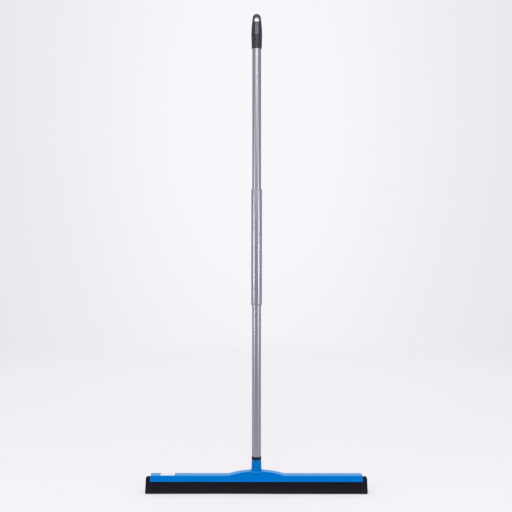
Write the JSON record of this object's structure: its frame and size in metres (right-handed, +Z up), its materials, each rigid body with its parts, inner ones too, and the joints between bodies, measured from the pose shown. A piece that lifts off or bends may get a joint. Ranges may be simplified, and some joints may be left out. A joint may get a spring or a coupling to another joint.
{
  "type": "floor squeegee",
  "caption": "Wide floor squeegee with splayed foam strips in a moulded frame, a domed screw socket, and a tubular handle in sleeved halves with a hanging grip.",
  "frame": {"origin": "floor level under the middle of the two foam strips, on the handle's axis", "axes": "+Z up the handle, X along the strips, +Y to the back"},
  "size_m": [0.55, 0.048, 1.1917],
  "materials": {
    "blue_plastic": "moulded, slightly glossy",
    "label_film": "blank paper film",
    "carrier_plastic": "extruded, dull",
    "foam_rubber": "closed-cell foam rubber",
    "rivet_metal": "plain",
    "black_plastic": "moulded, satin",
    "silver_tube": "silver lacquer, semi-gloss",
    "liner_plastic": "natural, dull"
  },
  "bodies": {
    "head": {"head_frame": "blue_plastic", "blank_label": "label_film"},
    "blade_pack": {"blade_carrier": "carrier_plastic", "front_blade": "foam_rubber", "rear_blade": "foam_rubber", "blade_rivets": "rivet_metal"},
    "ring": {"stop_ring": "black_plastic"},
    "lower_handle": {"thread_plug": "black_plastic", "lower_tube": "silver_tube", "coupling_sleeve": "silver_tube", "coupling_liner": "liner_plastic"},
    "upper_handle": {"upper_tube": "silver_tube", "hanger_grip": "black_plastic"}
  },
  "joints": [
    {"name": "thread_lift", "type": "slide", "parent": "head", "child": "ring", "axis": [0, 0, 1], "range_m": [0, 0.0302]},
    {"name": "handle_turn", "type": "hinge", "parent": "ring", "child": "lower_handle", "pos_m": [0, 0, 0.08], "axis": [0, 0, 1], "range_deg": [0, 2160]},
    {"name": "upper_pull", "type": "slide", "parent": "lower_handle", "child": "upper_handle", "axis": [0, 0, 1], "range_m": [0, 0.146]},
    {"name": "blade_slide", "type": "slide", "parent": "head", "child": "blade_pack", "axis": [1, 0, 0], "range_m": [-0.545, 0.545]}
  ],
  "couplings": [
    {"joint": "thread_lift", "follows": "handle_turn", "m_per_rad": 0.00079577}
  ]
}
